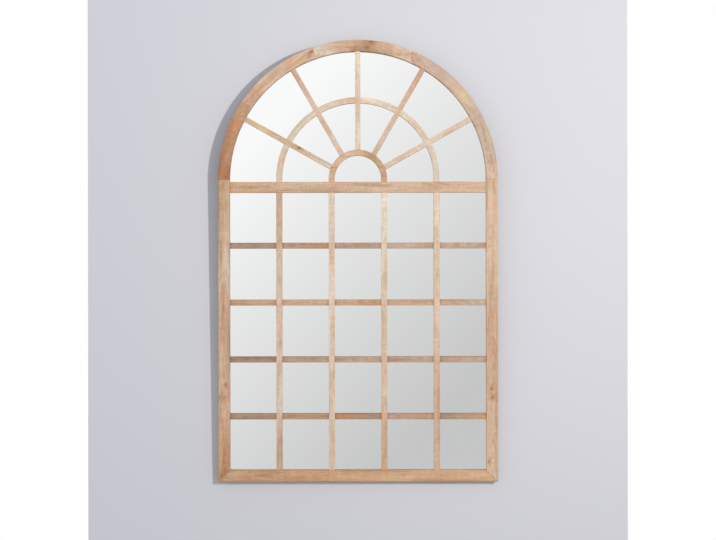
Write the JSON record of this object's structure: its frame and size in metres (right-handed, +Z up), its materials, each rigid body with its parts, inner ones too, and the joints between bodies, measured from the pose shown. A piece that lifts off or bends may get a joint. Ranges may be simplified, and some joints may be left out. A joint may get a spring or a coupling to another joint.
{
  "type": "arched window mirror",
  "caption": "Wall mirror in a wooden window frame: a half-round head with a fan of spokes and rings above a grid of square panes, and swinging hanger rings on the back.",
  "frame": {"origin": "under the middle of the bottom rail, halfway between the front of the frame and the wall", "axes": "+Z up to the top of the arch, -Y out of the mirror towards the viewer, +Y into the wall, +X to the viewer's right"},
  "size_m": [0.965, 0.04, 1.524],
  "materials": {
    "frame_wood": "pale hardwood with brown streaks and small knots, clear matt finish",
    "bar_wood": "pale hardwood, each bar its own tone, clear matt finish",
    "tenon_wood": "bare beech",
    "mirror": "silvered float glass with ground edges",
    "backboard": "bare brown fibreboard",
    "zinc_steel": "bright zinc plate",
    "nickel_wire": "nickel-plated wire",
    "bumper_rubber": "soft translucent grey rubber"
  },
  "bodies": {
    "frame": {"left_stile": "frame_wood", "right_stile": "frame_wood", "bottom_rail": "frame_wood", "arch_segment_1": "frame_wood", "arch_segment_2": "frame_wood", "arch_segment_3": "frame_wood", "arch_segment_4": "frame_wood", "arch_segment_5": "frame_wood", "middle_rail": "bar_wood", "vertical_muntin_1": "bar_wood", "vertical_muntin_2": "bar_wood", "vertical_muntin_3": "bar_wood", "vertical_muntin_4": "bar_wood", "cross_bar_1_1": "bar_wood", "cross_bar_1_2": "bar_wood", "cross_bar_1_3": "bar_wood", "cross_bar_1_4": "bar_wood", "cross_bar_1_5": "bar_wood", "cross_bar_2_1": "bar_wood", "cross_bar_2_2": "bar_wood", "cross_bar_2_3": "bar_wood", "cross_bar_2_4": "bar_wood", "cross_bar_2_5": "bar_wood", "cross_bar_3_1": "bar_wood", "cross_bar_3_2": "bar_wood", "cross_bar_3_3": "bar_wood", "cross_bar_3_4": "bar_wood", "cross_bar_3_5": "bar_wood", "cross_bar_4_1": "bar_wood", "cross_bar_4_2": "bar_wood", "cross_bar_4_3": "bar_wood", "cross_bar_4_4": "bar_wood", "cross_bar_4_5": "bar_wood", "spoke_1": "bar_wood", "spoke_2": "bar_wood", "spoke_3": "bar_wood", "spoke_4": "bar_wood", "spoke_5": "bar_wood", "ring_segment_1": "bar_wood", "ring_segment_2": "bar_wood", "ring_segment_3": "bar_wood", "ring_segment_4": "bar_wood", "ring_segment_5": "bar_wood", "ring_segment_6": "bar_wood", "hub_ring": "bar_wood", "arch_joint_tenons": "tenon_wood", "corner_joint_tenons": "tenon_wood", "mirror_glass": "mirror", "backboard": "backboard", "backboard_screws": "zinc_steel", "hanger_screws": "zinc_steel", "left_hanger_strap": "zinc_steel", "left_wall_bumper": "bumper_rubber", "right_hanger_strap": "zinc_steel", "right_wall_bumper": "bumper_rubber"},
    "left_ring": {"left_hanger_ring": "nickel_wire"},
    "right_ring": {"right_hanger_ring": "nickel_wire"}
  },
  "joints": [
    {"name": "left_ring_swing", "type": "hinge", "parent": "frame", "child": "left_ring", "pos_m": [-0.47025, 0.01555, 1.01], "axis": [1, 0, 0], "range_deg": [0, 180]},
    {"name": "right_ring_swing", "type": "hinge", "parent": "frame", "child": "right_ring", "pos_m": [0.47025, 0.01555, 1.01], "axis": [1, 0, 0], "range_deg": [0, 180]}
  ]
}
